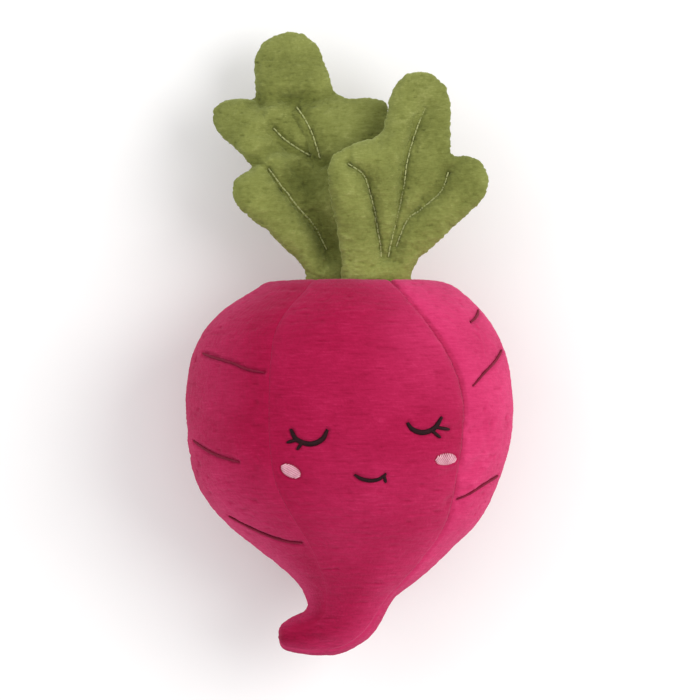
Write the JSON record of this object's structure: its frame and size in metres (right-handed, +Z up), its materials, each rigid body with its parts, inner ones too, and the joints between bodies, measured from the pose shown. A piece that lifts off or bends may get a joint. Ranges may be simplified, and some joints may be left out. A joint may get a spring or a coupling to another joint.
{
  "type": "plush radish soft toy",
  "caption": "Stuffed plush radish lying on its back: gored round body with a curled tail, embroidered sleeping face and quilted oak-shaped leaves.",
  "frame": {"origin": "on the floor under the middle of the toy's box, as it lies on its back", "axes": "+X to the right across the toy seen from above, +Y from the tail to the leaves, +Z up out of the face"},
  "size_m": [0.1258, 0.2408, 0.105],
  "materials": {
    "magenta_plush": "matte",
    "olive_plush": "matte",
    "fibre_fill": "matte",
    "black_thread": "satin",
    "pink_thread": "satin",
    "plum_thread": "satin",
    "magenta_thread": "satin",
    "olive_thread": "satin"
  },
  "bodies": {
    "root": {"front_panel": "magenta_plush", "right_side_panel": "magenta_plush", "back_right_panel": "magenta_plush", "back_left_panel": "magenta_plush", "left_side_panel": "magenta_plush", "body_stuffing": "fibre_fill", "left_eye_embroidery": "black_thread", "right_eye_embroidery": "black_thread", "mouth_embroidery": "black_thread", "left_cheek_embroidery": "pink_thread", "right_cheek_embroidery": "pink_thread", "left_ring_stitch_upper": "plum_thread", "left_ring_stitch_middle": "plum_thread", "left_ring_stitch_lower": "plum_thread", "right_ring_stitch_upper": "plum_thread", "right_ring_stitch_middle": "plum_thread", "right_ring_stitch_lower": "plum_thread", "closing_seam_thread": "magenta_thread", "large_leaf_front": "olive_plush", "large_leaf_back": "olive_plush", "large_leaf_stuffing": "fibre_fill", "large_leaf_vein_centre": "olive_thread", "large_leaf_vein_upper": "olive_thread", "large_leaf_vein_lower": "olive_thread", "small_leaf_front": "olive_plush", "small_leaf_back": "olive_plush", "small_leaf_stuffing": "fibre_fill", "small_leaf_vein_centre": "olive_thread", "small_leaf_vein_left": "olive_thread", "small_leaf_vein_right": "olive_thread"}
  },
  "joints": []
}
